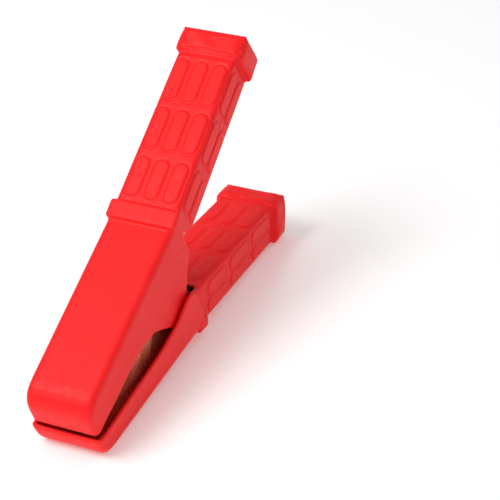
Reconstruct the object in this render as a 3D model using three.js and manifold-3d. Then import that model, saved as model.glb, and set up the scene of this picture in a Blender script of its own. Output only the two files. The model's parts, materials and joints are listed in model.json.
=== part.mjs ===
// Insulated alligator clip for a test lead: two moulded boots over two steel levers with copper jaws.
// Millimetres. The arms are drawn in the clip frame: X towards the jaw tips, Z towards the upper arm, Y along
// the pivot pin. Z = 0 is the line that the two arms mirror across. The whole clip then stands on its lower arm.
import * as THREE from "three";
import { mergeVertices } from "three/addons/utils/BufferGeometryUtils.js";
import Module from "manifold-3d";

const wasm = await Module();
wasm.setup();

// ---------------------------------------------------------------- driving dimensions
const NOSE_SLOPE = THREE.MathUtils.degToRad(10.7); // the nose's outer face falls towards the tip
const HANDLE_SLOPE = THREE.MathUtils.degToRad(18.1); // the handle's outer face rises towards its end
const SPINE = 27.2; // height at which the nose's and the handle's outer faces meet
const PIVOT_X = 5;

const COLLAR_RISE = 1.3; // how far each collar stands proud of the handle
const MID_COLLAR_LENGTH = 7;
const MID_COLLAR_DEPTH = 3.5;
const END_COLLAR_START = 70.8;
const HANDLE_END = 80.3;
const HANDLE_DEPTH = 17; // outer face to inner face of a handle
const HANDLE_HALF_FRONT = 12.7;
const HANDLE_HALF_END = 11.4;
const BOOT_WALL = 2;
const END_COLLAR_HALF = 12.8;

const HOOD_HALF = 13; // upper nose cover, outside
const HOOD_SKIRT = 1.5; // thickness of its side skirts
const TRAY_HALF_REAR = 15.6; // lower nose cover, outside, at the pivot
const TRAY_HALF_TIP = 13.7;
const TRAY_WALL = 1.4;
const TRAY_DRAFT = 0.0056; // share of its width that the tray loses with each mm below its rim
const NOSE_END = 72.3;
const HOOD_FRONT = 70.9; // inside of the upper nose's front wall
const TRAY_FRONT = 71.5; // inside of the lower nose's front wall

const SHEET = 1.1; // sheet metal of levers and jaws
const LEVER_SKIN = -2.4; // depth of a lever's web below the boot's outer face
const JAW_SKIN = -3.9; // depth of a jaw's web below the boot's outer face
const LEVER_END = 64;
const LEVER_FLANGE = 8;
const EAR_RADIUS = 7;
const TONGUE_END = 41;
const TONGUE_HALF = 5.5;
const UPPER = { leverHalf: 9.2, jawHalf: 10.3 };
const LOWER = { leverHalf: 7.8, jawHalf: 8.9 };
const JAW_START = 14;
const JAW_TIP = 70.4;
const BITE = -2.6; // height at which the teeth meet
const TOOTH_PITCH = 2.74;
const TOOTH_HEIGHT = 1.3;
const TOOTH_GAP = 0.3;

const PIN_RADIUS = 2.4;
const PIN_HOLE = 2.8;
const WASHER = { inner: 2.8, outer: 5, thickness: 0.6 };
const BUSH = { inner: 2.8, outer: 3.7, half: 6.2 };
const SPRING = { wire: 0.9, radius: 5, turns: 4, pitch: 2.15, legReach: 34 };

const RIVET = { shank: 1.2, hole: 1.5, head: 2.3, headHeight: 0.9 };
const RIVETS_U = [28, 36.5]; // distance of the jaw rivets from the spine along the nose
const STRAP_RIVET_U = 21.5;
const STRAP = { half: 3.5, thickness: 1, gap: 0.3, start: 25 };
const TERMINAL = { s: 52, shank: 1.9, hole: 2.2, head: 3.4, headHeight: 2.2, washer: 4.4, lug: 1.6 };

const MATERIALS = {
  red_vinyl: new THREE.MeshStandardMaterial({ color: 0xf03030, roughness: 0.5, metalness: 0 }),
  zinc_steel: new THREE.MeshStandardMaterial({ color: 0xb9bcc0, roughness: 0.35, metalness: 1 }),
  copper: new THREE.MeshStandardMaterial({ color: 0xb5653f, roughness: 0.3, metalness: 1 }),
  spring_steel: new THREE.MeshStandardMaterial({ color: 0x8f9296, roughness: 0.3, metalness: 1 }),
  brass: new THREE.MeshStandardMaterial({ color: 0xc9a24d, roughness: 0.3, metalness: 1 }),
  nylon: new THREE.MeshStandardMaterial({ color: 0xe6e2d6, roughness: 0.6, metalness: 0 }),
};

// ---------------------------------------------------------------- places on an arm
// u runs from the spine towards the tip, s from the spine towards the handle's end, v outwards.
function nose(u, v) {
  return [
    u * Math.cos(NOSE_SLOPE) + v * Math.sin(NOSE_SLOPE),
    SPINE - u * Math.sin(NOSE_SLOPE) + v * Math.cos(NOSE_SLOPE),
  ];
}
function handle(s, v) {
  return [
    -s * Math.cos(HANDLE_SLOPE) + v * Math.sin(HANDLE_SLOPE),
    SPINE + s * Math.sin(HANDLE_SLOPE) + v * Math.cos(HANDLE_SLOPE),
  ];
}

// ---------------------------------------------------------------- solids
function toSolid(geometry) {
  const bare = geometry.index ? geometry.toNonIndexed() : geometry.clone();
  bare.deleteAttribute("normal");
  bare.deleteAttribute("uv");
  const merged = mergeVertices(bare, 1e-4);
  return new wasm.Manifold(
    new wasm.Mesh({
      numProp: 3,
      vertProperties: merged.attributes.position.array,
      triVerts: new Uint32Array(merged.index.array),
    }),
  );
}
function toGeometry(solid) {
  const mesh = solid.getMesh();
  const geometry = new THREE.BufferGeometry();
  geometry.setAttribute("position", new THREE.BufferAttribute(mesh.vertProperties, 3));
  geometry.setIndex(new THREE.BufferAttribute(mesh.triVerts, 1));
  geometry.computeVertexNormals();
  return geometry;
}
// A closed outline whose corners are [x, z] or [x, z, rounding].
function outline(corners) {
  const shape = new THREE.Shape();
  const towards = (from, to, reach) => {
    const step = new THREE.Vector2(to[0] - from[0], to[1] - from[1]);
    step.setLength(Math.min(reach, step.length() / 2));
    return [from[0] + step.x, from[1] + step.y];
  };
  corners.forEach((corner, i) => {
    const before = corners[(i + corners.length - 1) % corners.length];
    const after = corners[(i + 1) % corners.length];
    const reach = corner[2] ?? 0;
    const start = towards(corner, before, reach);
    if (i === 0) shape.moveTo(...start);
    else shape.lineTo(...start);
    if (reach > 0) shape.quadraticCurveTo(corner[0], corner[1], ...towards(corner, after, reach));
  });
  shape.closePath();
  return shape;
}
// The outline as a bar across the clip, from -half to +half along Y, with its long edges rounded by bevel.
function bar(corners, half, bevel = 0) {
  const geometry = new THREE.ExtrudeGeometry(outline(corners), {
    depth: 2 * (half - bevel),
    bevelEnabled: bevel > 0,
    bevelThickness: bevel,
    bevelSize: bevel,
    bevelOffset: -bevel,
    bevelSegments: 3,
    curveSegments: 5,
  });
  geometry.translate(0, 0, bevel - half);
  return geometry.rotateX(Math.PI / 2);
}
// Narrows a bar along X, so that its half width is halfAtA at xA and halfAtB at xB.
function taper(geometry, [xA, halfAtA], [xB, halfAtB]) {
  const position = geometry.attributes.position;
  const widest = Math.max(halfAtA, halfAtB);
  for (let i = 0; i < position.count; i++) {
    const share = (position.getX(i) - xA) / (xB - xA);
    position.setY(i, (position.getY(i) * (halfAtA + share * (halfAtB - halfAtA))) / widest);
  }
  return geometry;
}
// Narrows a bar upwards from the height rim, and widens it below, by share of its width for each millimetre.
function draft(geometry, rim, share) {
  const position = geometry.attributes.position;
  for (let i = 0; i < position.count; i++) {
    position.setY(i, position.getY(i) * (1 - share * (position.getZ(i) - rim)));
  }
  return geometry;
}
// A cylinder along Y through [x, z], from y = low to y = high.
function crossPin([x, z], radius, low, high, sides = 24) {
  const geometry = new THREE.CylinderGeometry(radius, radius, high - low, sides);
  return geometry.translate(x, (low + high) / 2, z);
}
// A cylinder square to the nose or the handle, at that face's own place and slope.
function faceDrill(place, slope, radius, depth) {
  const geometry = new THREE.CylinderGeometry(radius, radius, depth, 16).rotateX(Math.PI / 2);
  return geometry.rotateY(slope).translate(place[0], 0, place[1]);
}
const flipped = (geometry) => {
  // Half a turn about X carries an upper-arm piece to the lower arm, and keeps its faces pointing out.
  return geometry.rotateX(Math.PI);
};
const PIVOT = [PIVOT_X, 0];

// ---------------------------------------------------------------- boots
const FAR = 60; // reaches past everything that a cut removes

// throat holds the corners at which the tube's front opens towards the pivot.
function handleTube(throat) {
  const outer = [
    handle(-2, 0),
    handle(HANDLE_END - 1, 0),
    handle(HANDLE_END - 1, -HANDLE_DEPTH),
    ...throat,
  ];
  const ends = [
    [0, HANDLE_HALF_FRONT],
    [handle(HANDLE_END, 0)[0], HANDLE_HALF_END],
  ];
  return toSolid(taper(bar(outer, HANDLE_HALF_FRONT, 2), ...ends));
}
function handleBore() {
  const inner = [
    handle(-1, -BOOT_WALL),
    handle(HANDLE_END + 5, -BOOT_WALL),
    handle(HANDLE_END + 5, -HANDLE_DEPTH + BOOT_WALL),
    handle(9, -HANDLE_DEPTH + BOOT_WALL),
    [-9, 0],
    [2, 0],
  ];
  const ends = [
    [0, HANDLE_HALF_FRONT - BOOT_WALL],
    [handle(HANDLE_END, 0)[0], HANDLE_HALF_END - BOOT_WALL],
  ];
  return toSolid(taper(bar(inner, HANDLE_HALF_FRONT - BOOT_WALL), ...ends));
}
function endCollar() {
  const ring = [
    handle(END_COLLAR_START, COLLAR_RISE),
    handle(HANDLE_END, COLLAR_RISE),
    handle(HANDLE_END, -HANDLE_DEPTH - COLLAR_RISE),
    handle(END_COLLAR_START, -HANDLE_DEPTH - COLLAR_RISE),
  ];
  return toSolid(bar(ring, END_COLLAR_HALF, 1));
}
function midCollar(half) {
  const rib = [
    handle(0, COLLAR_RISE),
    handle(MID_COLLAR_LENGTH, COLLAR_RISE),
    handle(MID_COLLAR_LENGTH, -MID_COLLAR_DEPTH),
    handle(0, -MID_COLLAR_DEPTH),
  ];
  return toSolid(bar(rib, half, 0.8));
}

// The side outline of the upper nose cover: its skirts reach down past the pivot in a lobe on each side.
const HOOD_OUTLINE = [
  handle(MID_COLLAR_LENGTH - 0.4, 0),
  nose(0, 0),
  [...nose(NOSE_END + 2.6, 0), 8],
  [NOSE_END - 0.1, -1.5, 1.4],
  [66.5, -0.2, 3],
  [55, 1, 4],
  [44, 2.8, 4],
  [33, 3.2, 4],
  [25, 0.8, 4],
  [15, -8.5, 6],
  [7, -15, 5],
  [1.5, -6, 3],
  [-4.5, 6, 4],
  [-11, 10, 1.5],
];
const UPPER_THROAT = [handle(8, -HANDLE_DEPTH), handle(3, -HANDLE_DEPTH + 6)];
const LOWER_THROAT = [handle(1, -HANDLE_DEPTH), [-0.8, 9]];

// The side outline of the lower nose cover, drawn as if it were the upper one.
const TRAY_OUTLINE = [
  handle(MID_COLLAR_LENGTH - 0.4, 0),
  nose(0, 0),
  [...nose(NOSE_END + 1, 0), 7],
  [NOSE_END + 1, 2.9, 1.2],
  [60, 4.4, 4],
  [42, 6.4, 6],
  [26, 8, 6],
  [12, 7, 4],
  [4, 3.2, 2.5],
  [-1.2, 5.5, 3],
];
const RIM = 5; // height of the tray's rim, where its width is measured
const tapered = (geometry, ends) => draft(taper(geometry, ...ends), RIM, TRAY_DRAFT);
// A nose cover before its hollow is cut: rounded along its outer edges, and square along its free edges.
function noseShell(side, half, ends) {
  // The front face runs on in a straight line past the free edge.
  const [[topX, topZ], [lipX, lipZ]] = [side[2], side[3]];
  const frontX = topX + ((lipX - topX) * (topZ + FAR)) / (topZ - lipZ);
  const block = [side[0], side[1], side[2], [frontX, -FAR], [-14, -FAR]];
  const rounded = bar(block, half, 2.2);
  const cutter = bar(side, half + 5);
  return toSolid(ends ? tapered(rounded, ends) : rounded).intersect(toSolid(cutter));
}
function noseHollow(half, rear, front, ends) {
  const hollow = [
    [rear, -FAR],
    [rear, nose(rear, -BOOT_WALL)[1] - 3],
    nose(0, -BOOT_WALL),
    [...nose(front + 1.6, -BOOT_WALL), 5.5],
    [front, 0],
    [front, -FAR],
  ];
  const geometry = bar(hollow, half);
  return toSolid(ends ? tapered(geometry, ends) : geometry);
}

function upperBoot() {
  const shell = noseShell(HOOD_OUTLINE, HOOD_HALF)
    .add(handleTube(UPPER_THROAT))
    .add(midCollar(HOOD_HALF + 0.7))
    .add(endCollar());
  return toGeometry(shell.subtract(noseHollow(HOOD_HALF - HOOD_SKIRT, -8.5, HOOD_FRONT)).subtract(handleBore()));
}
function lowerBoot(standing) {
  const outerEnds = [
    [0, TRAY_HALF_REAR],
    [NOSE_END, TRAY_HALF_TIP],
  ];
  const innerEnds = outerEnds.map(([x, half]) => [x, half - TRAY_WALL]);
  const shell = noseShell(TRAY_OUTLINE, TRAY_HALF_REAR, outerEnds)
    .add(handleTube(LOWER_THROAT))
    .add(midCollar(TRAY_HALF_REAR - 1.6))
    .add(endCollar());
  const hollow = noseHollow(TRAY_HALF_REAR - TRAY_WALL, -0.5, TRAY_FRONT, innerEnds);
  const boot = toSolid(flipped(toGeometry(shell.subtract(hollow).subtract(handleBore()))));
  // The toe and the heel are cut flat along the surface that the clip stands on.
  const ground = new THREE.BoxGeometry(4 * FAR, 4 * FAR, FAR).translate(0, 0, -FAR / 2);
  return toGeometry(boot.subtract(toSolid(ground.applyMatrix4(standing.clone().invert()))));
}

// ---------------------------------------------------------------- levers and jaws
function lever(half) {
  const [x, z] = PIVOT;
  const side = [
    handle(LEVER_END, LEVER_SKIN),
    nose(0, LEVER_SKIN),
    nose(13, LEVER_SKIN),
    [x + EAR_RADIUS + 0.6, z + 6, 2],
    [x + EAR_RADIUS, z - EAR_RADIUS, EAR_RADIUS],
    [x - EAR_RADIUS, z - EAR_RADIUS, EAR_RADIUS],
    [x - EAR_RADIUS - 1.5, z + 7, 6],
    [...handle(14, LEVER_SKIN - LEVER_FLANGE), 6],
    handle(LEVER_END, LEVER_SKIN - LEVER_FLANGE),
  ];
  const inside = [
    handle(LEVER_END + 5, LEVER_SKIN - SHEET),
    nose(0, LEVER_SKIN - SHEET),
    nose(20, LEVER_SKIN - SHEET),
    [20, -FAR],
    [-FAR * 1.6, -FAR],
  ];
  const tongue = [
    nose(12, LEVER_SKIN),
    nose(TONGUE_END, LEVER_SKIN),
    nose(TONGUE_END, LEVER_SKIN - SHEET),
    nose(12, LEVER_SKIN - SHEET),
  ];
  let solid = toSolid(bar(side, half))
    .subtract(toSolid(bar(inside, half - SHEET)))
    .add(toSolid(bar(tongue, TONGUE_HALF)))
    .subtract(toSolid(crossPin(PIVOT, PIN_HOLE, -FAR, FAR)));
  for (const u of [STRAP_RIVET_U, ...RIVETS_U]) {
    solid = solid.subtract(toSolid(faceDrill(nose(u, LEVER_SKIN), NOSE_SLOPE, RIVET.hole, 6)));
  }
  return solid;
}
function upperLever() {
  const drill = faceDrill(handle(TERMINAL.s, LEVER_SKIN), HANDLE_SLOPE, TERMINAL.hole, 6);
  return toGeometry(lever(UPPER.leverHalf).subtract(toSolid(drill)));
}

// A zigzag across the clip's width: everything below it when side is -1, above it when side is +1.
function toothCutter(height, side) {
  const reach = 5.5 * TOOTH_PITCH;
  const shape = new THREE.Shape();
  shape.moveTo(-reach, height);
  for (let y = -reach, up = true; y < reach - 0.01; y += TOOTH_PITCH / 2, up = !up) {
    shape.lineTo(y + TOOTH_PITCH / 2, height + (up ? TOOTH_HEIGHT : 0));
  }
  shape.lineTo(reach, height + side * FAR);
  shape.lineTo(-reach, height + side * FAR);
  const geometry = new THREE.ExtrudeGeometry(shape, { depth: 5, bevelEnabled: false });
  // The shape's x becomes Y, its y becomes Z, and its depth runs along X.
  const turned = new THREE.Matrix4().set(0, 0, 1, JAW_TIP - 2, 1, 0, 0, 0, 0, 1, 0, 0, 0, 0, 0, 1);
  return toSolid(geometry.applyMatrix4(turned));
}
function jaw(freeEdge, lipEnd, half) {
  const side = [
    nose(JAW_START, JAW_SKIN),
    [...nose(JAW_TIP + 0.6, JAW_SKIN), 5],
    [JAW_TIP, lipEnd],
    ...freeEdge,
  ];
  const inside = [
    nose(JAW_START - 8, JAW_SKIN - SHEET),
    [...nose(JAW_TIP - SHEET + 0.4, JAW_SKIN - SHEET), 4],
    [JAW_TIP - SHEET, lipEnd],
    [JAW_TIP - SHEET, -FAR],
    [JAW_START - 8, -FAR],
  ];
  let solid = toSolid(bar(side, half)).subtract(toSolid(bar(inside, half - SHEET)));
  for (const u of [STRAP_RIVET_U, ...RIVETS_U]) {
    solid = solid.subtract(toSolid(faceDrill(nose(u, JAW_SKIN), NOSE_SLOPE, RIVET.hole, 6)));
  }
  return solid;
}
// The upper jaw's side walls dip in a rounded belly behind the teeth.
const UPPER_JAW_EDGE = [
  [66, -2],
  [59, -3.6, 3],
  [50, -5.6, 3],
  [43, -7.4, 3],
  [35.5, -10.4, 5],
  [28, -8.6, 4],
  [23.5, -1.5, 3],
  [JAW_START + 0.3, 3],
];
// The lower jaw's side walls pass inside the upper ones. Drawn as if it were the upper jaw.
const LOWER_JAW_EDGE = [
  [66, 2.8],
  [50, 1, 3],
  [30, -1, 3],
  [20, -2, 3],
  [JAW_START + 0.3, 3],
];
function upperJaw() {
  const blank = jaw(UPPER_JAW_EDGE, BITE - TOOTH_HEIGHT, UPPER.jawHalf);
  return toGeometry(blank.subtract(toothCutter(BITE - TOOTH_HEIGHT / 2, -1)));
}
function lowerJaw() {
  const blank = jaw(LOWER_JAW_EDGE, -BITE - TOOTH_HEIGHT, LOWER.jawHalf);
  const solid = toSolid(flipped(toGeometry(blank)));
  return toGeometry(solid.subtract(toothCutter(BITE - TOOTH_HEIGHT / 2 - TOOTH_GAP, 1)));
}

// ---------------------------------------------------------------- pivot, spring, fasteners
// A turned piece from [radius, height] pairs, its axis square to the nose or the handle at place.
function turned(profile, place, slope, sides = 16) {
  const points = profile.map(([radius, height]) => new THREE.Vector2(radius, height));
  const geometry = new THREE.LatheGeometry(points, sides).rotateX(Math.PI / 2);
  return geometry.rotateY(slope).translate(place[0], 0, place[1]);
}
// The rivet's head is inside the jaw, and its shank ends flush with the lever's web.
function rivet(u, grip) {
  const top = 0.05;
  const head = -grip - RIVET.headHeight;
  const profile = [
    [0, head],
    [RIVET.head * 0.7, head],
    [RIVET.head, -grip - 0.3],
    [RIVET.head, -grip],
    [RIVET.shank, -grip],
    [RIVET.shank, top],
    [0, top],
  ];
  return turned(profile, nose(u, LEVER_SKIN), NOSE_SLOPE);
}
const JAW_GRIP = LEVER_SKIN - JAW_SKIN + SHEET + 0.3;
const STRAP_GRIP = JAW_GRIP + STRAP.thickness + STRAP.gap;

function pivotPin() {
  const head = UPPER.leverHalf + WASHER.thickness + 0.4;
  const profile = [
    [0, -head - 1.1],
    [3.4, -head - 1.1],
    [4.2, -head - 0.4],
    [4.2, -head],
    [PIN_RADIUS, -head],
    [PIN_RADIUS, head + 1],
    [0, head + 1],
  ].map(([radius, height]) => new THREE.Vector2(radius, height));
  return new THREE.LatheGeometry(profile, 24).translate(PIVOT[0], 0, PIVOT[1]);
}
function ringAlongY(inner, outer, low, high, sides = 24) {
  const profile = [
    [inner, low],
    [outer, low],
    [outer, high],
    [inner, high],
    [inner, low],
  ].map(([radius, height]) => new THREE.Vector2(radius, height));
  return new THREE.LatheGeometry(profile, sides).translate(PIVOT[0], 0, PIVOT[1]);
}
const washer = (side) => {
  const near = UPPER.leverHalf + 0.15;
  const far = near + WASHER.thickness;
  return side > 0
    ? ringAlongY(WASHER.inner, WASHER.outer, near, far)
    : ringAlongY(WASHER.inner, WASHER.outer, -far, -near);
};
const pushNut = () => {
  const near = UPPER.leverHalf + WASHER.thickness + 0.4;
  return ringAlongY(PIN_RADIUS + 0.15, 4.2, near, near + 0.8);
};

// Coils round the bush, with a leg that lies along each lever's web.
function torsionSpring() {
  const width = SPRING.turns * SPRING.pitch;
  const touch = LEVER_SKIN - SHEET - SPRING.wire - 0.35;
  const [endX, endZ] = handle(SPRING.legReach, touch);
  const away = Math.hypot(endX - PIVOT[0], endZ);
  // Angle of the point where the leg leaves the coil at a tangent, on the coil's front side.
  const leave = Math.atan2(endZ, endX - PIVOT[0]) - Math.acos(SPRING.radius / away);
  const points = [];
  const legPoint = (side, share) => {
    const x = PIVOT[0] + SPRING.radius * Math.cos(leave);
    const z = SPRING.radius * Math.sin(leave);
    return new THREE.Vector3(
      x + share * (endX - x),
      (side * width) / 2,
      side * (z + share * (endZ - z)),
    );
  };
  const steps = 14;
  for (const share of [1, 0.75, 0.5, 0.25, 0.1]) points.push(legPoint(-1, share));
  // From the lower leg's tangent point forwards round the coil to the upper leg's.
  const sweep = 2 * leave + 2 * Math.PI * SPRING.turns;
  const turnsOfSteps = Math.round((sweep / (2 * Math.PI)) * steps);
  for (let i = 0; i <= turnsOfSteps; i++) {
    const share = i / turnsOfSteps;
    const angle = -leave + share * sweep;
    points.push(
      new THREE.Vector3(
        PIVOT[0] + SPRING.radius * Math.cos(angle),
        (share - 0.5) * width,
        SPRING.radius * Math.sin(angle),
      ),
    );
  }
  for (const share of [0.1, 0.25, 0.5, 0.75, 1]) points.push(legPoint(1, share));
  const section = new THREE.Shape().absarc(0, 0, SPRING.wire, 0, 2 * Math.PI, false);
  return new THREE.ExtrudeGeometry(section, {
    steps: 2 * points.length,
    extrudePath: new THREE.CatmullRomCurve3(points),
    curveSegments: 4,
  });
}

// A flat woven strap that carries current past the pivot, from one jaw's web to the other's.
function bondingStrap() {
  const depth = JAW_SKIN - SHEET - STRAP.gap;
  const upperFace = [
    nose(STRAP.start, depth),
    [...nose(15, depth), 5],
    [12.7, 8, 12],
  ];
  const upperBack = [
    [13.7, 8, 12],
    [...nose(16.2, depth - STRAP.thickness), 4],
    nose(STRAP.start, depth - STRAP.thickness),
  ];
  const mirrored = (corners) => corners.map(([x, z, r]) => [x, -z, r ?? 0]).reverse();
  const side = [...upperFace, ...mirrored(upperFace), ...mirrored(upperBack), ...upperBack];
  let solid = toSolid(bar(side, STRAP.half));
  const drill = faceDrill(nose(STRAP_RIVET_U, JAW_SKIN), NOSE_SLOPE, RIVET.hole, 8);
  solid = solid.subtract(toSolid(drill)).subtract(toSolid(flipped(drill)));
  return toGeometry(solid);
}

// The lead's ring lug goes between the washer and the lever's web.
function terminalScrew() {
  const under = SHEET + TERMINAL.lug + 1.4;
  const profile = [
    [0, -under - TERMINAL.headHeight],
    [TERMINAL.head * 0.8, -under - TERMINAL.headHeight],
    [TERMINAL.head, -under - TERMINAL.headHeight * 0.6],
    [TERMINAL.head, -under],
    [TERMINAL.shank, -under],
    [TERMINAL.shank, 0],
    [0, 0],
  ];
  return turned(profile, handle(TERMINAL.s, LEVER_SKIN), HANDLE_SLOPE, 20);
}
function terminalWasher() {
  const top = -SHEET - TERMINAL.lug;
  const profile = [
    [TERMINAL.hole, top - 1],
    [TERMINAL.washer, top - 1],
    [TERMINAL.washer, top],
    [TERMINAL.hole, top],
    [TERMINAL.hole, top - 1],
  ];
  return turned(profile, handle(TERMINAL.s, LEVER_SKIN), HANDLE_SLOPE, 20);
}

// ---------------------------------------------------------------- assembly
// The clip stands on the toe of the lower nose and on the rear corner of the lower end collar.
const GROUND_CUT = 0.3; // how much the toe and the heel are flattened
const TOE = { x: 64.1, z: -15 };
const HEEL = { x: handle(HANDLE_END, 0)[0], z: -handle(HANDLE_END, COLLAR_RISE)[1] };

const clip = new THREE.Group();
clip.rotation.y = Math.atan2(TOE.z - HEEL.z, TOE.x - HEEL.x);
clip.updateMatrix();
const lowest = new THREE.Box3().setFromBufferAttribute(
  flipped(toGeometry(endCollar())).applyMatrix4(clip.matrix).attributes.position,
).min.z;
clip.position.z = -lowest - GROUND_CUT;
clip.updateMatrix();

function place(name, geometry, material) {
  const mesh = new THREE.Mesh(geometry, MATERIALS[material]);
  mesh.name = name;
  clip.add(mesh);
}
place("upper_boot", upperBoot(), "red_vinyl");
place("upper_lever", upperLever(), "zinc_steel");
place("upper_jaw", upperJaw(), "copper");
place("terminal_screw", terminalScrew(), "brass");
place("terminal_washer", terminalWasher(), "brass");
place("lower_boot", lowerBoot(clip.matrix), "red_vinyl");
place("lower_lever", flipped(toGeometry(lever(LOWER.leverHalf))), "zinc_steel");
place("lower_jaw", lowerJaw(), "copper");
RIVETS_U.forEach((u, i) => {
  const end = ["rear", "front"][i];
  place(`upper_jaw_rivet_${end}`, rivet(u, JAW_GRIP), "copper");
  place(`lower_jaw_rivet_${end}`, flipped(rivet(u, JAW_GRIP)), "copper");
});
place("upper_strap_rivet", rivet(STRAP_RIVET_U, STRAP_GRIP), "copper");
place("lower_strap_rivet", flipped(rivet(STRAP_RIVET_U, STRAP_GRIP)), "copper");
place("pivot_pin", pivotPin(), "zinc_steel");
place("pivot_washer_left", washer(1), "nylon");
place("pivot_washer_right", washer(-1), "nylon");
place("pivot_push_nut", pushNut(), "spring_steel");
place("spring_bush", ringAlongY(BUSH.inner, BUSH.outer, -BUSH.half, BUSH.half), "nylon");
place("torsion_spring", torsionSpring(), "spring_steel");
place("bonding_strap", bondingStrap(), "copper");

const part = new THREE.Group();
part.add(clip);
const extent = new THREE.Box3().setFromObject(part, true);
clip.position.x -= (extent.min.x + extent.max.x) / 2;

export default part;
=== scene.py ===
"""An insulated alligator clip: soft vinyl boots over steel levers and copper jaws, on a pale studio floor.

Lengths in the functions are millimetres in the clip frame: x towards the jaw tips, y along the pivot pin,
and z towards the upper arm, with the two arms mirrored across z = 0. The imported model's own frame is in
metres, and is called the row frame here.
"""

import json
import math

import bmesh
import bpy
import numpy as np
from mathutils import Matrix, Vector


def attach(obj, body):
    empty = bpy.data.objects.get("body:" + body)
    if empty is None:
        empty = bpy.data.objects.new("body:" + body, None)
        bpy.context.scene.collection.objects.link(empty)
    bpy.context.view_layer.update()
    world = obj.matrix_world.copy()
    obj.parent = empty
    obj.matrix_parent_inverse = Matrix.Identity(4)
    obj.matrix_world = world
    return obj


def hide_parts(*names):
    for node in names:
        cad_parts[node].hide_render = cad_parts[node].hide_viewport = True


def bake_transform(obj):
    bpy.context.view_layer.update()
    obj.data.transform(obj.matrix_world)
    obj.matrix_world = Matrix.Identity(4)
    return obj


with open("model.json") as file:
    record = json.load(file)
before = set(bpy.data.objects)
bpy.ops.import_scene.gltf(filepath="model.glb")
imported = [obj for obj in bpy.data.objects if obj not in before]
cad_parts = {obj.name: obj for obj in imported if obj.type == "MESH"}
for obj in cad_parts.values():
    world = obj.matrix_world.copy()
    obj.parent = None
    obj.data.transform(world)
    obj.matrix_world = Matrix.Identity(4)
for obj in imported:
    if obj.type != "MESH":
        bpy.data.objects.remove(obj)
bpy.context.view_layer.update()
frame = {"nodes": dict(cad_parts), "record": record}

MM = 0.001

# ---------------------------------------------------------------- the clip frame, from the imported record


def mount_axis(name):
    """The outward direction of one of the record's mounts."""
    return np.array(next(m["axis"] for m in frame["record"]["mounts"] if m["name"] == name), float)


def unit(vector):
    return vector / np.linalg.norm(vector)


UPPER_HANDLE_WAY = unit(mount_axis("upper_inlet_face"))
LOWER_HANDLE_WAY = unit(mount_axis("lower_inlet_face"))
CLIP_X = -unit(UPPER_HANDLE_WAY + LOWER_HANDLE_WAY)
CLIP_Y = np.array([0.0, 1.0, 0.0])
CLIP_Z = unit(UPPER_HANDLE_WAY - LOWER_HANDLE_WAY)
CLIP_AXES = np.array([CLIP_X, CLIP_Y, CLIP_Z])
PIVOT = np.array(frame["record"]["behaviour"]["joints"][0]["pos_m"], float)
PIVOT_X = 5.0
CLIP_ORIGIN = PIVOT - PIVOT_X * MM * CLIP_X

# The driving dimensions of the arms, as in the CAD source.
HANDLE_SLOPE = math.asin(float(UPPER_HANDLE_WAY @ CLIP_Z))
NOSE_SLOPE = math.radians(10.7)
SPINE = 27.2
HANDLE_DEPTH = 17.0
HANDLE_END = 80.3
HANDLE_HALF_FRONT = 12.7
HANDLE_HALF_END = 11.4
COLLAR_RISE = 1.3
MID_COLLAR_LENGTH = 7.0
END_COLLAR_START = 70.8
HOOD_HALF = 13.0
TRAY_HALF_REAR = 15.6
TRAY_HALF_TIP = 13.7
NOSE_END = 72.3


def to_clip(points):
    """Row-frame metres to clip-frame millimetres."""
    return (np.asarray(points, float) - CLIP_ORIGIN) @ CLIP_AXES.T / MM


def to_row(points):
    """Clip-frame millimetres to row-frame metres."""
    return np.asarray(points, float) * MM @ CLIP_AXES + CLIP_ORIGIN


def handle(s, v):
    """[x, z] at s behind the spine along the handle and v outside its outer face."""
    x = -s * math.cos(HANDLE_SLOPE) + v * math.sin(HANDLE_SLOPE)
    return x, SPINE + s * math.sin(HANDLE_SLOPE) + v * math.cos(HANDLE_SLOPE)


def nose(u, v):
    """[x, z] at u ahead of the spine along the nose and v outside its outer face."""
    x = u * math.cos(NOSE_SLOPE) + v * math.sin(NOSE_SLOPE)
    return x, SPINE - u * math.sin(NOSE_SLOPE) + v * math.cos(NOSE_SLOPE)


def handle_place(x, z):
    """(s, v) of a point of the upper arm: the reverse of handle()."""
    along = -x * math.cos(HANDLE_SLOPE) + (z - SPINE) * math.sin(HANDLE_SLOPE)
    outward = x * math.sin(HANDLE_SLOPE) + (z - SPINE) * math.cos(HANDLE_SLOPE)
    return along, outward


def nose_place(x, z):
    """(u, v) of a point of the upper arm: the reverse of nose()."""
    along = x * math.cos(NOSE_SLOPE) - (z - SPINE) * math.sin(NOSE_SLOPE)
    outward = x * math.sin(NOSE_SLOPE) + (z - SPINE) * math.cos(NOSE_SLOPE)
    return along, outward


# ---------------------------------------------------------------- node helpers


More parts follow.
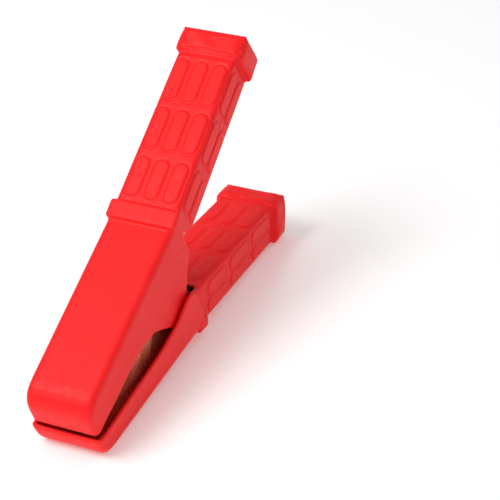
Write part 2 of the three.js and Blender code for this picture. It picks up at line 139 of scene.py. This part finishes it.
class Shader:
    """A material's node tree, with short calls to add and join nodes."""

    def __init__(self, name):
        self.material = bpy.data.materials.new(name)
        self.material.use_nodes = True
        self.tree = self.material.node_tree
        self.surface = self.tree.nodes["Principled BSDF"]
        self.coords = self.tree.nodes.new("ShaderNodeTexCoord").outputs["Object"]

    def add(self, kind, **inputs):
        node = self.tree.nodes.new(kind)
        for name, value in inputs.items():
            self.put(node.inputs[name.replace("_", " ")], value)
        return node

    def put(self, socket, value):
        if isinstance(value, bpy.types.NodeSocket):
            self.tree.links.new(value, socket)
        else:
            socket.default_value = value

    def surface_is(self, **inputs):
        for name, value in inputs.items():
            self.put(self.surface.inputs[name.replace("_", " ")], value)

    def noise(self, scale, detail=3.0, vector=None):
        node = self.add("ShaderNodeTexNoise", Scale=scale, Detail=detail)
        self.put(node.inputs["Vector"], vector or self.coords)
        return node.outputs["Fac"]

    def stretched(self, along_x):
        """Object coordinates with x scaled, so that a noise on them is drawn out along x."""
        stretch = self.add("ShaderNodeMapping", Vector=self.coords)
        stretch.inputs["Scale"].default_value = (along_x, 1.0, 1.0)
        return stretch.outputs["Vector"]

    def mapped(self, value, low, high, to_low, to_high):
        node = self.add("ShaderNodeMapRange")
        for name, number in zip(("From Min", "From Max", "To Min", "To Max"), (low, high, to_low, to_high)):
            node.inputs[name].default_value = number
        self.put(node.inputs["Value"], value)
        return node.outputs["Result"]

    def mixed(self, share, first, second):
        node = self.tree.nodes.new("ShaderNodeMix")
        node.data_type = "RGBA"
        self.put(node.inputs[0], share)
        self.put(node.inputs[6], first)
        self.put(node.inputs[7], second)
        return node.outputs[2]

    def bumped(self, height, strength, distance, under=None):
        node = self.add("ShaderNodeBump", Height=height, Strength=strength, Distance=distance)
        if under is not None:
            self.put(node.inputs["Normal"], under)
        return node.outputs["Normal"]

    def edges(self, low, high):
        """Near 1 on sharp outer edges, from the mesh's pointiness."""
        pointiness = self.tree.nodes.new("ShaderNodeNewGeometry").outputs["Pointiness"]
        return self.mapped(pointiness, low, high, 0.0, 1.0)


def colour(r, g, b):
    return (r, g, b, 1.0)


# ---------------------------------------------------------------- materials


def soft_vinyl():
    """Moulded red vinyl: satin, faintly mottled, with a fine grain and edges rubbed a little paler."""
    s = Shader("soft_red_vinyl")
    mottle = s.mapped(s.noise(90.0, 4.0), 0.3, 0.7, 0.0, 1.0)
    body = s.mixed(mottle, colour(0.88, 0.008, 0.01), colour(0.93, 0.012, 0.014))
    rubbed = s.mixed(s.mapped(s.edges(0.52, 0.6), 0.0, 1.0, 0.0, 0.35), body, colour(1.0, 0.06, 0.06))
    grain = s.bumped(s.noise(5200.0, 2.0), 0.16, 0.00006)
    flow = s.bumped(s.noise(110.0, 2.0), 0.12, 0.0001, grain)
    s.surface_is(
        Base_Color=rubbed,
        Roughness=s.mapped(s.noise(420.0, 4.0), 0.3, 0.7, 0.4, 0.52),
        Normal=flow,
        Subsurface_Weight=0.06,
        Subsurface_Scale=0.0015,
        Specular_IOR_Level=0.2,
    )
    s.surface.inputs["Subsurface Radius"].default_value = (1.0, 0.25, 0.2)
    return s.material


def copper_plate():
    """Copper plate: warm and bright, browner where it has tarnished, with fine scratches along the jaw."""
    s = Shader("copper_plate")
    tarnish = s.mapped(s.noise(90.0, 3.0), 0.4, 0.65, 0.0, 1.0)
    metal = s.mixed(tarnish, colour(0.95, 0.42, 0.24), colour(0.7, 0.24, 0.12))
    scratch = s.noise(2600.0, 3.0, s.stretched(0.12))
    s.surface_is(
        Base_Color=metal,
        Metallic=0.8,
        Roughness=s.mapped(s.noise(160.0, 3.0), 0.3, 0.7, 0.2, 0.34),
        Normal=s.bumped(scratch, 0.1, 0.00002),
    )
    return s.material


def sheared_copper_painted_glint():
    """The bare metal along a jaw's sheared edges, coloured near white as a painted glint of light on the
    bare copper.
    """
    s = Shader("sheared_copper_painted_glint")
    # Pale pinkish white: the bare copper's colour lifted into a painted glint, not the metal's own tone.
    metal = s.mixed(s.noise(500.0, 3.0), colour(1.0, 0.6, 0.46), colour(0.95, 0.72, 0.62))
    rough = s.mapped(s.noise(900.0, 2.0), 0.3, 0.7, 0.35, 0.5)
    burr = s.bumped(s.noise(2400.0, 2.0), 0.1, 0.00002)
    s.surface_is(Base_Color=metal, Metallic=0.6, Roughness=rough, Normal=burr)
    return s.material


def plated_steel(name, light, dark, roughness, grain):
    """Plated or oiled steel with faint drawing marks and uneven gloss."""
    s = Shader(name)
    base = s.mixed(s.mapped(s.noise(300.0, 4.0), 0.35, 0.65, 0.0, 1.0), light, dark)
    marks = s.noise(grain, 3.0, s.stretched(0.1))
    s.surface_is(
        Base_Color=base,
        Metallic=1.0,
        Roughness=s.mapped(s.noise(520.0, 4.0), 0.3, 0.7, roughness - 0.08, roughness + 0.1),
        Normal=s.bumped(marks, 0.2, 0.00004),
    )
    return s.material


def machined_brass():
    """Brass turned on a lathe."""
    s = Shader("machined_brass")
    patches = s.mapped(s.noise(400.0), 0.35, 0.65, 0.0, 1.0)
    base = s.mixed(patches, colour(0.8, 0.58, 0.25), colour(0.62, 0.42, 0.16))
    s.surface_is(
        Base_Color=base,
        Metallic=1.0,
        Roughness=s.mapped(s.noise(900.0), 0.3, 0.7, 0.22, 0.36),
        Normal=s.bumped(s.noise(3500.0), 0.15, 0.00003),
    )
    return s.material


def natural_nylon():
    """Natural nylon: waxy, off-white and slightly translucent."""
    s = Shader("natural_nylon")
    base = s.mixed(s.noise(200.0), colour(0.82, 0.8, 0.72), colour(0.74, 0.71, 0.61))
    s.surface_is(
        Base_Color=base,
        Roughness=s.mapped(s.noise(600.0), 0.3, 0.7, 0.42, 0.58),
        Normal=s.bumped(s.noise(2400.0), 0.2, 0.00004),
        Subsurface_Weight=0.2,
        Subsurface_Scale=0.001,
    )
    return s.material


def woven_copper():
    """Braided copper strap: crossing bundles of fine wire, rougher in the gaps between them and darkened
    there with painted shade.
    """
    s = Shader("woven_copper")
    waves = []
    for lean in (0.9, -0.9):
        turn = s.add("ShaderNodeMapping")
        s.put(turn.inputs["Vector"], s.coords)
        turn.inputs["Rotation"].default_value = (lean, lean, 0.0)
        wave = s.add("ShaderNodeTexWave", Vector=turn.outputs["Vector"], Scale=420.0, Distortion=0.6)
        waves.append(wave.outputs["Fac"])
    weave = s.add("ShaderNodeMath")
    weave.operation = "MAXIMUM"
    s.put(weave.inputs[0], waves[0])
    s.put(weave.inputs[1], waves[1])
    height = weave.outputs[0]
    s.surface_is(
        # The dark colour in the weave's gaps is painted shade between the bundles.
        Base_Color=s.mixed(height, colour(0.25, 0.08, 0.04), colour(0.85, 0.42, 0.26)),
        Metallic=1.0,
        Roughness=s.mapped(height, 0.0, 1.0, 0.6, 0.32),
        Normal=s.bumped(height, 0.8, 0.00012),
    )
    return s.material


def studio_floor():
    """A pale, matt floor that gives off a little light of its own, so that it stays near white in shade."""
    s = Shader("studio_floor")
    base = s.mixed(s.noise(6.0), colour(0.95, 0.95, 0.95), colour(0.97, 0.97, 0.97))
    s.surface_is(
        Base_Color=base,
        Roughness=0.9,
        Specular_IOR_Level=0.1,
        Emission_Color=colour(1.0, 1.0, 1.0),
        Emission_Strength=0.16,
    )
    return s.material


MATERIALS = {
    "red_vinyl": soft_vinyl(),
    "copper": copper_plate(),
    "copper_edge_painted_glint": sheared_copper_painted_glint(),
    "zinc_steel": plated_steel(
        "zinc_plated_steel", colour(0.72, 0.73, 0.75), colour(0.56, 0.57, 0.6), roughness=0.3, grain=1800.0
    ),
    "spring_steel": plated_steel(
        "oiled_spring_steel", colour(0.4, 0.4, 0.42), colour(0.24, 0.24, 0.26), roughness=0.28, grain=2600.0
    ),
    "brass": machined_brass(),
    "nylon": natural_nylon(),
}

# ---------------------------------------------------------------- vinyl boots

VOXEL = 0.5
SMOOTHING_FACTOR = 0.5
SMOOTHING_ROUNDS = 5
# A vertex belongs to a face where its normal leans that way and it lies near that face.
LEAN = (0.7, 0.95)
NEAR = (-0.8, -0.4)
GRIP_START = (8.0, 9.0)
GRIP_END = (69.2, 70.0)
END_COLLAR_HALF = 12.8
TRAY_DRAFT = 0.0056
TRAY_RIM = 5.0
PAD = {"rise": 0.4, "half": 2.8, "soft": 0.35, "moat": 0.22}
PAD_ROWS = ((9.6, 25.6), (29.6, 46.2), (50.0, 66.8))
FACE_COLUMNS = (-7.6, 0.0, 7.6)
SIDE_COLUMNS = (-5.0, -12.0)
GROOVE = {"depth": 0.45, "half": 0.8}
PARTING = {"rise": 0.14, "half": 0.5, "below_face": 3.4, "start": (1.0, 2.0), "end": (6.0, 9.0)}
# Roundings, the front edge's bow, the faces' dip and ripple, and how far the sides pass the CAD's.
COLLAR = {
    "corner": 4.4,
    "edge": 2.2,
    "front_edge": 0.8 * 2.2,
    "bow": 1.2,
    "bow_end": 76.0,
    "saddle": 0.7,
    "ripple": 0.16,
    "ripple_turns": (0.55, 0.5, 0.4),
    "flare": 1.0,
    "flare_from": 4.0,
    "skin": (0.2, 1.2),
    "blend": (0.2, 0.9),
}
THROAT = {"reach": 4.5, "from": 11.5, "to": 8.4, "front": (2.0, 5.0), "wall": (2.4, 3.2)}


def smooth_step(value, low, high):
    share = np.clip((value - low) / (high - low), 0.0, 1.0)
    return share * share * (3.0 - 2.0 * share)


def between(value, start, end):
    """1 inside a stretch, rising smoothly over start and falling over end, each a (low, high) pair."""
    return smooth_step(value, *start) * smooth_step(-value, -end[1], -end[0])


def ridge(distance, half):
    """1 on a line, falling smoothly to 0 at half a width away."""
    return smooth_step(-np.abs(distance), -half, 0.0)


def evaluated_copy(obj):
    """A new mesh with the object's modifiers applied."""
    graph = bpy.context.evaluated_depsgraph_get()
    return bpy.data.meshes.new_from_object(obj.evaluated_get(graph))


def moulded_blank(node):
    """The CAD boot remeshed fine and smoothed, so that every edge is as soft as moulded vinyl's."""
    piece = bpy.data.objects.new(node + "_moulding", frame["nodes"][node].data.copy())
    bpy.context.scene.collection.objects.link(piece)
    remesh = piece.modifiers.new("fine", "REMESH")
    remesh.mode = "VOXEL"
    remesh.voxel_size = 1.0 * VOXEL * MM
    smooth = piece.modifiers.new("soft", "SMOOTH")
    smooth.factor = SMOOTHING_FACTOR
    smooth.iterations = SMOOTHING_ROUNDS
    mesh = evaluated_copy(piece)
    piece.modifiers.clear()
    piece.data = mesh
    return piece


class Skin:
    """A boot's surface as arrays: each vertex's place along the handle and the nose, and its face.

    side is 1 for the upper arm and -1 for the lower one, which is measured as its mirror image.
    """

    def __init__(self, mesh, side, nose_half):
        count = len(mesh.vertices)
        flat = np.empty(3 * count)
        mesh.vertices.foreach_get("co", flat)
        self.points = to_clip(flat.reshape(-1, 3))
        mesh.vertex_normals.foreach_get("vector", flat)
        self.normals = flat.reshape(-1, 3) @ CLIP_AXES.T
        self.mesh = mesh
        self.side = side
        self.x, self.y, self.z = self.points[:, 0], self.points[:, 1], side * self.points[:, 2]
        self.along, self.outward = handle_place(self.x, self.z)
        self.ahead, self.above = nose_place(self.x, self.z)
        half_share = self.x / handle(HANDLE_END, 0)[0]
        half = HANDLE_HALF_FRONT + (HANDLE_HALF_END - HANDLE_HALF_FRONT) * half_share
        lean = self.normals[:, 0] * math.sin(HANDLE_SLOPE)
        lean += side * self.normals[:, 2] * math.cos(HANDLE_SLOPE)
        sideways = smooth_step(np.abs(self.normals[:, 1]), *LEAN)
        self.on_outer = smooth_step(lean, *LEAN) * smooth_step(self.outward, *NEAR)
        self.on_inner = smooth_step(-lean, *LEAN) * smooth_step(-self.outward - HANDLE_DEPTH, *NEAR)
        self.on_side = sideways * smooth_step(np.abs(self.y) - half, *NEAR)
        self.on_nose_side = sideways * smooth_step(np.abs(self.y) - nose_half(self.x, self.z), *NEAR)
        self.grip = between(self.along, GRIP_START, GRIP_END)

    def raise_by(self, height):
        """Moves every vertex outwards along its normal."""
        self.points += self.normals * height[:, None]

    def shift(self, along=0.0, outward=0.0, across=0.0):
        """Moves every vertex in the handle's own directions."""
        self.points[:, 0] += -along * math.cos(HANDLE_SLOPE) + outward * math.sin(HANDLE_SLOPE)
        self.points[:, 2] += self.side * (along * math.sin(HANDLE_SLOPE) + outward * math.cos(HANDLE_SLOPE))
        self.points[:, 1] += across

    def write(self):
        self.mesh.vertices.foreach_set("co", to_row(self.points).ravel())
        self.mesh.update()
        self.mesh.shade_smooth()


def pad_height(along, across, columns):
    """Height of a face's stadium-shaped pads, each in a narrow moat, along and across the handle."""
    height = np.zeros_like(along)
    for column in columns:
        for start, end in PAD_ROWS:
            straight = np.clip(along, start + PAD["half"], end - PAD["half"])
            away = np.hypot(along - straight, across - column) - PAD["half"]
            lift = PAD["rise"] * smooth_step(-away, -PAD["soft"], PAD["soft"])
            height += lift - PAD["moat"] * ridge(away - PAD["soft"], 2 * PAD["soft"])
    return height


def grip_pads(skin):
    """Three columns of pads on the handle's outer and inner faces, and two on each side."""
    faces = pad_height(skin.along, skin.y, FACE_COLUMNS) * (skin.on_outer + skin.on_inner)
    sides = pad_height(skin.along, skin.outward, SIDE_COLUMNS) * skin.on_side
    return (faces + sides) * skin.grip


def collar_grooves(skin):
    """A shadow groove along each collar, where the handle's skin tucks under it."""
    half = GROOVE["half"]
    around = np.clip(skin.on_outer + skin.on_inner + skin.on_side, 0.0, 1.0)
    end = ridge(skin.along - (END_COLLAR_START - half), 2 * half) * around
    middle = ridge(skin.along - (MID_COLLAR_LENGTH + half), 2 * half) * skin.on_outer
    return GROOVE["depth"] * (end + middle)


def parting_lines(skin):
    """The fine raised line where the mould's halves met, along the side of the nose and of the handle."""
    short, full = PARTING["end"]
    on_nose = between(skin.ahead, PARTING["start"], (NOSE_END - full, NOSE_END - short))
    width = 2 * PARTING["half"]
    nose_line = ridge(skin.above + PARTING["below_face"], width) * skin.on_nose_side * on_nose
    handle_line = ridge(skin.outward + HANDLE_DEPTH / 2, width) * skin.on_side * skin.grip
    return PARTING["rise"] * (nose_line + handle_line)


def rounding(first, second, radius):
    """How far a point this deep under two faces moves in from each, to round the edge between them."""
    a = np.clip(radius - first, 0.0, None)
    b = np.clip(radius - second, 0.0, None)
    reach = np.hypot(a, b)
    share = np.where(reach > radius, 1.0 - radius / np.maximum(reach, 1e-6), 0.0)
    return a * share, b * share


def soften_end_collar(skin):
    """Rounds the end collar, widens it, and lets its faces dip and ripple as a soft flange's do."""
    late, early = COLLAR["blend"]
    on_collar = smooth_step(skin.along, END_COLLAR_START - early, END_COLLAR_START - late)
    top = COLLAR_RISE - skin.outward
    bottom = skin.outward + HANDLE_DEPTH + COLLAR_RISE
    beside = END_COLLAR_HALF - np.abs(skin.y)
    face = np.minimum(top, bottom)
    facing = np.where(top < bottom, -1.0, 1.0)
    outer = np.minimum(face, beside)
    in_y, in_face = rounding(beside, face, COLLAR["corner"])
    end_in, from_end = rounding(outer, HANDLE_END - skin.along, COLLAR["edge"])
    front_in, from_front = rounding(outer, skin.along - END_COLLAR_START, COLLAR["front_edge"])
    shallow, deep = COLLAR["skin"]
    proud = smooth_step(-outer, -deep, -shallow)
    sway = 0.5 + 0.5 * np.cos(math.pi * skin.y / END_COLLAR_HALF)
    in_turn, along_turn, out_turn = COLLAR["ripple_turns"]
    turn = in_turn * skin.y + along_turn * skin.along + out_turn * skin.outward
    ripple = COLLAR["ripple"] * (1.0 + np.sin(turn))
    inward = COLLAR["saddle"] * sway * proud + ripple * proud
    front = smooth_step(-skin.along, -COLLAR["bow_end"], -END_COLLAR_START)
    edge_in = np.maximum(end_in, front_in)
    toward_face = np.where(face < beside, edge_in + inward, 0.0) + in_face
    toward_side = np.where(face < beside, 0.0, edge_in + inward) + in_y
    flare = COLLAR["flare"] * smooth_step(np.abs(skin.y), COLLAR["flare_from"], END_COLLAR_HALF)
    skin.shift(
        along=on_collar * (from_front - from_end + COLLAR["bow"] * sway * proud * front),
        outward=on_collar * facing * toward_face,
        across=on_collar * np.sign(skin.y) * (flare - toward_side),
    )


def close_throat(skin):
    """Draws the front edge of the lower handle's inner face forward, which narrows the gap by the lug."""
    near = between(skin.along, THROAT["front"], (THROAT["to"], THROAT["from"]))
    thin, thick = THROAT["wall"]
    inner = smooth_step(-skin.outward, HANDLE_DEPTH - thick, HANDLE_DEPTH - thin)
    skin.shift(along=-THROAT["reach"] * near * inner)


def boot(node, side, body, nose_half):
    """One arm's vinyl boot, which replaces its CAD node. nose_half gives the nose's half width at (x, z)."""
    piece = moulded_blank(node)
    skin = Skin(piece.data, side, nose_half)
    skin.raise_by(grip_pads(skin) + parting_lines(skin) - collar_grooves(skin))
    soften_end_collar(skin)
    if side < 0:
        close_throat(skin)
    skin.write()
    piece.data.materials.clear()
    piece.data.materials.append(MATERIALS["red_vinyl"])
    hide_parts(node)
    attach(piece, body)


def hood_half(x, _z):
    return np.full_like(x, HOOD_HALF)


def tray_half(x, z):
    """The tray narrows towards the tips, and by its draft above its rim."""
    rim_half = TRAY_HALF_REAR + (TRAY_HALF_TIP - TRAY_HALF_REAR) * x / NOSE_END
    return rim_half * (1.0 - TRAY_DRAFT * (z - TRAY_RIM))


# ---------------------------------------------------------------- swept metal pieces


def skin_rings(mesh, rings):
    """Faces from each ring of vertices to the next, and one over each end."""
    sides = len(rings[0])
    for first, second in zip(rings, rings[1:]):
        for i in range(sides):
            j = (i + 1) % sides
            mesh.faces.new((first[i], first[j], second[j], second[i]))
    mesh.faces.new(rings[0][::-1])
    mesh.faces.new(rings[-1])


def tube(name, path, radius, sides=14):
    """A round wire along a path of clip-frame points, with closed ends."""
    path = np.asarray(path, float)
    ways = np.gradient(path, axis=0)
    ways /= np.linalg.norm(ways, axis=1)[:, None]
    across = unit(np.cross(ways[0], [0.3, 0.9, 0.2]))
    mesh = bmesh.new()
    rings = []
    for point, way in zip(path, ways):
        across = unit(across - way * (across @ way))
        beside = np.cross(way, across)
        ring = []
        for i in range(sides):
            turn = 2 * math.pi * i / sides
            place = point + radius * (math.cos(turn) * across + math.sin(turn) * beside)
            ring.append(mesh.verts.new(to_row(place)))
        rings.append(ring)
    skin_rings(mesh, rings)
    return finished(name, mesh)


def finished(name, mesh):
    """The bmesh as an object in the scene, with its faces turned out and shaded smooth."""
    bmesh.ops.recalc_face_normals(mesh, faces=mesh.faces)
    data = bpy.data.meshes.new(name)
    mesh.to_mesh(data)
    mesh.free()
    data.shade_smooth()
    piece = bpy.data.objects.new(name, data)
    bpy.context.scene.collection.objects.link(piece)
    return piece


SPRING = {"wire": 0.9, "radius": 5.0, "turns": 4, "pitch": 2.15, "leg_reach": 34.0, "skin": -4.75}


def spring_path():
    """Along the lower leg, round the coil and out along the upper leg, as in the CAD."""
    width = SPRING["turns"] * SPRING["pitch"]
    end_x, end_z = handle(SPRING["leg_reach"], SPRING["skin"])
    away = math.hypot(end_x - PIVOT_X, end_z)
    leave = math.atan2(end_z, end_x - PIVOT_X) - math.acos(SPRING["radius"] / away)
    start_x = PIVOT_X + SPRING["radius"] * math.cos(leave)
    start_z = SPRING["radius"] * math.sin(leave)
    upper_leg = [
        (start_x + share * (end_x - start_x), width / 2, start_z + share * (end_z - start_z))
        for share in np.linspace(0.04, 1.0, 24)
    ]
    lower_leg = [(x, -y, -z) for x, y, z in reversed(upper_leg)]
    sweep = 2 * leave + 2 * math.pi * SPRING["turns"]
    coil = []
    for share in np.linspace(0.0, 1.0, 40 * SPRING["turns"]):
        turn = -leave + share * sweep
        coil.append(
            (
                PIVOT_X + SPRING["radius"] * math.cos(turn),
                (share - 0.5) * width,
                SPRING["radius"] * math.sin(turn),
            )
        )
    return lower_leg + coil + upper_leg


def torsion_spring():
    piece = tube("torsion_spring_wire", spring_path(), SPRING["wire"])
    piece.data.materials.append(MATERIALS["spring_steel"])
    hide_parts("torsion_spring")
    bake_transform(piece)


STRAP = {"half": 3.5, "thickness": 1.0, "start": 25.0, "depth": -5.3, "bend_x": 13.2, "turn_at": 15.6}
STRAP_LEAVE_Z = 9.0
STRAP_SIDES = 36


def strap_path():
    """From the lower jaw's web, forward of the spring, to the upper jaw's web."""
    depth = STRAP["depth"] - STRAP["thickness"] / 2
    start = np.array(nose(STRAP["start"], depth))
    corner = np.array(nose(STRAP["turn_at"], depth))
    leave = np.array([STRAP["bend_x"], STRAP_LEAVE_Z])
    first = start + (corner - start) * 0.75
    last = corner + (leave - corner) * 0.6
    points = [start + (first - start) * share for share in np.linspace(0.0, 0.95, 12)]
    for t in np.linspace(0.0, 1.0, 16):
        points.append((1 - t) ** 2 * first + 2 * t * (1 - t) * corner + t * t * last)
    low = np.array([last[0], -last[1]])
    middle = []
    for share in np.linspace(0.05, 0.95, 24):
        bulge = -0.5 * math.sin(math.pi * share)
        middle.append(last + (low - last) * share + np.array([bulge, 0.0]))
    mirrored = [np.array([x, -z]) for x, z in reversed(points)]
    return points + middle + mirrored


def bonding_strap():
    """A flat strap of braided copper, slightly crowned and with a serrated selvedge."""
    path = np.array(strap_path())
    ways = np.gradient(path, axis=0)
    ways /= np.linalg.norm(ways, axis=1)[:, None]
    out = np.stack([ways[:, 1], -ways[:, 0]], axis=1)
    mesh = bmesh.new()
    rings = []
    for i, (point, normal) in enumerate(zip(path, out)):
        ring = []
        width = STRAP["half"] * (1.0 - 0.02 * (i % 2))
        for j in range(STRAP_SIDES):
            turn = 2 * math.pi * j / STRAP_SIDES
            y = width * math.copysign(abs(math.cos(turn)) ** 0.35, math.cos(turn))
            weave = 0.06 * math.sin(1.9 * y + 1.3 * i) * (1 if math.sin(turn) > 0 else -1)
            thick = STRAP["thickness"] / 2 * math.copysign(abs(math.sin(turn)) ** 0.35, math.sin(turn))
            offset = 0.92 * thick + weave * abs(math.sin(turn))
            place = (point[0] + normal[0] * offset, y, point[1] + normal[1] * offset)
            ring.append(mesh.verts.new(to_row(place)))
        rings.append(ring)
    skin_rings(mesh, rings)
    piece = finished("bonding_strap_braid", mesh)
    piece.data.materials.append(woven_copper())
    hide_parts("bonding_strap")
    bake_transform(piece)


# ---------------------------------------------------------------- CAD nodes that stay


REPLACED = ("upper_boot", "lower_boot", "torsion_spring", "bonding_strap")
EDGE_WIDTH = 0.12
SHEARED_GLINT_EDGE_WIDTH = 0.22


def finish_nodes():
    """Gives each remaining CAD node its material and fine bevelled edges; on the copper these are bare
    sheared metal with a painted glint.
    """
    slots = {entry["node"]: entry["material_slot"] for entry in frame["record"]["subparts"]}
    for name, obj in frame["nodes"].items():
        if name in REPLACED:
            continue
        obj.data.materials.clear()
        obj.data.materials.append(MATERIALS[slots[name]])
        bevel = obj.modifiers.new("edge", "BEVEL")
        bevel.width = EDGE_WIDTH * MM
        # The copper's bevel takes the sheared-edge material: bare metal with a painted glint along every
        # edge.
        if slots[name] == "copper":
            obj.data.materials.append(MATERIALS["copper_edge_painted_glint"])
            bevel.width = SHEARED_GLINT_EDGE_WIDTH * MM
            bevel.material = 1
        bevel.segments = 2
        bevel.limit_method = "ANGLE"
        bevel.angle_limit = math.radians(30)


# ---------------------------------------------------------------- stage, light and camera


def floor():
    """A wide flat floor."""
    mesh = bmesh.new()
    half = 4.0
    corners = ((-half, -half), (half, -half), (half, half), (-half, half))
    mesh.faces.new([mesh.verts.new((x, y, 0.0)) for x, y in corners])
    piece = finished("studio_sweep", mesh)
    piece.data.materials.append(studio_floor())


def area_light(name, place, aim, size, power):
    """A soft white panel at a place, turned to face its aim. size is its width and height."""
    data = bpy.data.lights.new(name, "AREA")
    data.shape = "RECTANGLE"
    data.size = size[0]
    data.size_y = size[1]
    data.energy = power
    light = bpy.data.objects.new(name, data)
    way = Vector(aim) - Vector(place)
    light.matrix_world = Matrix.Translation(place) @ way.to_track_quat("-Z", "Y").to_matrix().to_4x4()
    bpy.context.scene.collection.objects.link(light)


def lights():
    world = bpy.data.worlds.new("studio")
    world.use_nodes = True
    sky = world.node_tree.nodes["Background"]
    sky.inputs["Color"].default_value = colour(1.0, 1.0, 1.0)
    sky.inputs["Strength"].default_value = 0.55
    bpy.context.scene.world = world
    centre = (0.0, 0.0, 0.03)
    area_light("key", (0.45, -0.35, 0.85), centre, (0.5, 0.5), 6.0)
    area_light("fill", (0.8, 0.7, 0.35), centre, (0.4, 0.7), 0.5)


def camera():
    """Looks down from the nose's side with a long lens, and leaves the right of the picture empty."""
    azimuth = math.radians(116.1)
    elevation = math.radians(32.64)
    roll = math.radians(-2.7)
    aim = Vector((-0.0646, 0.0038, -0.0007))
    distance = 0.7271
    back = Vector(
        (
            math.sin(azimuth) * math.cos(elevation),
            -math.cos(azimuth) * math.cos(elevation),
            math.sin(elevation),
        )
    )
    level = Vector((0.0, 0.0, 1.0)).cross(back).normalized()
    upright = back.cross(level)
    right = level * math.cos(roll) + upright * math.sin(roll)
    up = back.cross(right)
    data = bpy.data.cameras.new("camera")
    data.lens = 130.1
    data.sensor_width = 36.0
    data.clip_start = 0.01
    data.clip_end = 50.0
    eye = bpy.data.objects.new("camera", data)
    turn = Matrix((right, up, back)).transposed().to_4x4()
    eye.matrix_world = Matrix.Translation(aim + back * distance) @ turn
    bpy.context.scene.collection.objects.link(eye)
    bpy.context.scene.camera = eye


camera()
lights()
floor()
boot("upper_boot", 1, "upper_arm", hood_half)
boot("lower_boot", -1, "lower_arm", tray_half)
torsion_spring()
bonding_strap()
finish_nodes()
bpy.context.scene.view_settings.view_transform = "Standard"
bpy.context.scene.view_settings.look = "None"
